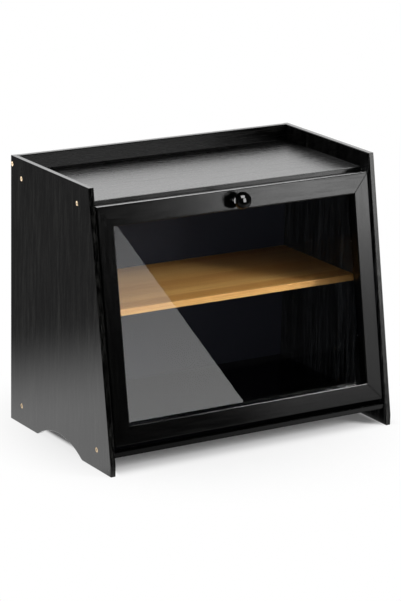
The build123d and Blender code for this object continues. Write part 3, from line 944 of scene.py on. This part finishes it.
key = softbox("key_front_right", round_the_box(46, 22, 2.5), 0.8, 0.8, 28.0, shows=False)
flag(key, [nodes["side_panel_left"]], "EXCLUDE")

window_high = window_lamp("window_high", (228, 262), 3.0, 0.55, 0.45, 3.4)
window_low = window_lamp("window_low", (262, 424), 1.0, 0.5, 0.24, 0.6)
unlit = ("window_pane", "back_rail", "back_panel", "side_panel_left", "bottom_board")
for lamp in (window_high, window_low):
    flag(lamp, [nodes[name] for name in unlit] + [knob], "EXCLUDE")

overhead = softbox("overhead", round_the_box(60, 64, 2.0), 1.1, 1.1, 10.0, lights=False)
upper = ("door_top_rail", "top_board", "side_panel_left", "side_panel_right")
flag(overhead, [nodes[name] for name in upper], "INCLUDE")

paper_left = softbox("paper_left", round_the_box(-148, 18, 2.0), 1.4, 0.9, 0.9, lights=False)
flag(paper_left, [nodes["side_panel_right"]], "INCLUDE")

fill = softbox("fill_front", round_the_box(24, 16, 2.5), 0.9, 0.8, 3.0, lights=False)
flag(fill, [nodes["top_board"]], "INCLUDE")

print("key lamp", round(key.data.energy), "W, and five lamps that only show in mirrors")

# %% [markdown]
# ## Light inside the box
# Light that falls in through the pane goes to and fro in the box, so its inside isn't quite
# black. Few of those rays get back out, and they would make more noise than light. Two soft lamps
# stand in for them: one in front of the box for the back panel, and one inside it for the right
# panel. Only the top board stands in their way, which keeps their light from all above it.

# %% Lamps for the inside
BOUNCED_LIGHT = "#D8DCF2"    # a little blue, thrown back by the cool black paint

inside_front = softbox("inside_lamp", round_the_box(-15, 0, 0.7), 0.5, 0.4, 1.9, shows=False)
flag(inside_front, [nodes["back_panel"]], "INCLUDE")
inside_side = softbox("inside_lamp_side", Vector((-0.08, 0.0, 0.18)), 0.16, 0.22, 2.6, shows=False)
inside_side.data.color = linear(BOUNCED_LIGHT)[:3]
flag(inside_side, [nodes["side_panel_right"]], "INCLUDE")
for lamp in (inside_front, inside_side):
    unshade(lamp, [nodes["top_board"]], "INCLUDE")
    print(lamp.name, round(lamp.data.energy, 2), "W")

# %% [markdown]
# ## Small lamps for small mirrors
# A glossy ball shrinks the whole room to a few pixels, so a highlight of 4 by 6 pixels on the knob
# takes a lamp more than a metre across. The screws get a small lamp of their own, low down,
# which their flat heads mirror. The tray's front edge looks down into the gap over the door, so
# its lamp is lower than the table, and the table, the knob and the top rail don't stand in its
# way. A strong lamp draws the thin light line on the eased edge under the pane, and ends left of
# the middle, where the line does.

# %% Lamps for the knob, the screws and two edges
BALL_LAMPS_AWAY, BALL_LAMPS_GLOW = 1.6, 8.0

for name, pixel, width, height in (
    ("ball_lamp_top", (242.9, 196.6), 1.3, 1.1),
    ("ball_lamp_side", (244.9, 200.6), 1.0, 1.7),
):
    spot = spot_in_ball(pixel, BALL_LAMPS_AWAY)
    flag(softbox(name, spot, width, height, BALL_LAMPS_GLOW, lights=False), [knob], "INCLUDE")
    print(name, "at", [round(c, 2) for c in spot])

screw_lamp = softbox("screw_lamp", Vector((-0.43, 0.50, 0.19)), 0.30, 0.32, 2.2, lights=False)
brass_screws = [bpy.data.objects[f"brass_screws_{side}"] for side in ("left", "right")]
flag(screw_lamp, brass_screws, "INCLUDE")
edge_lamp = softbox("edge_lamp", round_the_box(46, -14, 2.0), 0.8, 0.5, 4.6, lights=False)
flag(edge_lamp, [nodes["top_board"]], "INCLUDE")
unshade(edge_lamp, [table, knob, nodes["door_top_rail"]], "EXCLUDE")
sill_lamp = softbox("sill_lamp", round_the_box(47, 30, 3.0), 0.95, 0.6, 28.0, lights=False)
flag(sill_lamp, [nodes["door_bottom_rail"]], "INCLUDE")
for lamp in (screw_lamp, edge_lamp, sill_lamp):
    print(lamp.name, round(lamp.data.energy, 1), "W")

# %% [markdown]
# ## White paper behind the box
# The tray and the upright edges mirror a sheet of white paper that hangs far behind the box on
# the right. Its glow is painted light: brightest in the middle, where light would fall on it, and
# lost in the dark towards its rim. The knob is kept clear of it, so that its rim stays black as in
# the picture.

# %% Hanging paper
PAPER_PLACE = (148, 34, 12.0)            # round the box: degrees, degrees and metres
PAPER_WIDE, PAPER_HIGH = 11.0, 8.0       # half its width and height
PAPER_GLOW = 3.2                         # in its middle


def fading_paper():
    """White paper with a painted glow, bright in the middle and dark at its rim."""
    material, tree = new_material("white_paper_matt")
    place = add(tree, "Mapping", {
        "Vector": add(tree, "TexCoord").outputs["Object"], "Scale": (PAPER_WIDE, PAPER_HIGH, 1),
    }, vector_type="TEXTURE").outputs[0]
    out = add(tree, "VectorMath", {0: place}, operation="LENGTH").outputs["Value"]
    glow = add(tree, "MapRange", {
        "Value": out, "To Min": PAPER_GLOW, "To Max": 0.0,
    }).outputs[0]
    add(tree, "OutputMaterial", {"Surface": add(tree, "Emission", {"Strength": glow}).outputs[0]})
    return material


def stand(sheet, place):
    """Put a sheet somewhere in the room, with its face to the box."""
    sheet.location = place
    sheet.rotation_euler = (AIM - sheet.location).to_track_quat("Z", "Y").to_euler()


def hang(sheet, material, pieces, state):
    """Make a sheet glow in mirrors alone, in these pieces (INCLUDE) or all others (EXCLUDE)."""
    sheet.data.materials.append(material)
    sheet.visible_camera = False
    sheet.visible_diffuse = False
    sheet.visible_shadow = False
    sheet.visible_transmission = False
    flag(sheet, pieces, state)


bpy.ops.object.select_all(action="DESELECT")
bpy.ops.mesh.primitive_circle_add(vertices=ROUND, radius=1, fill_type="NGON")
sheet = begin("hanging_paper")
bpy.ops.transform.resize(value=(PAPER_WIDE, PAPER_HIGH, 1), center_override=(0, 0, 0))
bpy.ops.object.mode_set(mode="OBJECT")
stand(sheet, round_the_box(*PAPER_PLACE))
hang(sheet, fading_paper(), [knob], "EXCLUDE")
print("paper", 2 * PAPER_WIDE, "by", 2 * PAPER_HIGH, "m,", PAPER_PLACE[2], "m from the box")

# %% [markdown]
# ## A card for the knob's neck
# In the corner that the neck makes with the rail, light is mirrored by the rail and then by the
# ball. Two mirrorings of a few parts in a hundred need a fierce light, which the rail alone would
# show as a glaring patch from other sides. So the card only glows for rays mirrored twice.

# %% Card seen twice mirrored
CORNER_PLACE = (-25, 12, 2.0)            # round the box
CORNER_GLOW = 70.0


def twice_mirrored_card():
    """White card that glows for rays on their second mirroring or later."""
    material, tree = new_material("white_card_twice_mirrored")
    mirrored = add(tree, "LightPath").outputs["Glossy Depth"]
    glow = add(tree, "MapRange", {
        "Value": mirrored, "From Min": 1.0, "From Max": 2.0, "To Max": CORNER_GLOW,
    }).outputs[0]
    add(tree, "OutputMaterial", {"Surface": add(tree, "Emission", {"Strength": glow}).outputs[0]})
    material.cycles.emission_sampling = "NONE"   # it is found by mirrored rays, never as a lamp
    return material


bpy.ops.object.select_all(action="DESELECT")
bpy.ops.mesh.primitive_plane_add(size=1)
corner_card = bpy.context.object
corner_card.name = "corner_card"
stand(corner_card, round_the_box(*CORNER_PLACE))
hang(corner_card, twice_mirrored_card(), [nodes["door_top_rail"]], "INCLUDE")
print("twice mirrored card at", [round(c, 2) for c in corner_card.location])

# %% [markdown]
# ## A card for the pane
# Across the lower left of the pane lies a pale, straight-edged glare. Plain glass mirrors only a
# few parts in a hundred, so it takes a bright card in the room, outside the picture. The card is
# a triangle whose corners are found by following three pixels by way of the pane. Polished
# lacquer would mirror it too, so light linking keeps it to the pane, as a polarising filter
# would keep it off the boards.

# %% Reflector card
CARD_PIXELS = ((90, 188.3), (290, 466.4), (90, 466.4))
CARD_REACH = 1.6             # metres from the pane
CARD_GLOW = (4.0, 1.4)       # at its foot, and at its top
pane_face = max(v.co.dot(door_out) for v in nodes["window_pane"].data.vertices)


def bright_card(low, high):
    """White card, brighter at its foot."""
    material, tree = new_material("white_reflector_card")
    height = add(tree, "SeparateXYZ", {0: add(tree, "TexCoord").outputs["Object"]}).outputs["Z"]
    glow = add(tree, "MapRange", {
        "Value": height, "From Min": low, "From Max": high,
        "To Min": CARD_GLOW[0], "To Max": CARD_GLOW[1],
    }).outputs[0]
    add(tree, "OutputMaterial", {"Surface": add(tree, "Emission", {"Strength": glow}).outputs[0]})
    return material


bpy.ops.object.select_all(action="DESELECT")
bpy.ops.mesh.primitive_circle_add(vertices=3, fill_type="NGON")
card = bpy.context.object
card.name = "reflector_card"
for vertex, pixel in zip(card.data.vertices, CARD_PIXELS):
    vertex.co = mirrored_spot(pixel, CARD_REACH, pane_face)
heights = [vertex.co.z for vertex in card.data.vertices]
hang(card, bright_card(min(heights), max(heights)), [nodes["window_pane"]], "INCLUDE")
print("card corners", [[round(c, 2) for c in vertex.co] for vertex in card.data.vertices])
